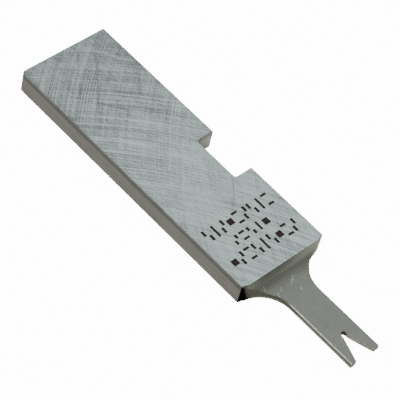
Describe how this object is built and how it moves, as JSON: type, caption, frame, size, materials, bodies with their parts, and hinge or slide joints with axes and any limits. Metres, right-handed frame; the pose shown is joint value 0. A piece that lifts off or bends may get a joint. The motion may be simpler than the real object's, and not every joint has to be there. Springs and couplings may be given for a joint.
{
  "type": "crimp punch blade",
  "caption": "Flat ground steel punch insert with a side locating notch, a stepped-down nose tongue on filleted shoulders and a forked, flared tip.",
  "frame": {"origin": "middle of the overall length and width, on the back face", "axes": "+X along the blade from the butt face to the forked nose, +Y towards the notched long edge, +Z out of the marked face"},
  "size_m": [0.0566, 0.014, 0.0032],
  "materials": {
    "tool_steel": "surface ground, fine crossed grinding marks"
  },
  "bodies": {
    "root": {"punch_blade": "tool_steel"}
  },
  "joints": []
}
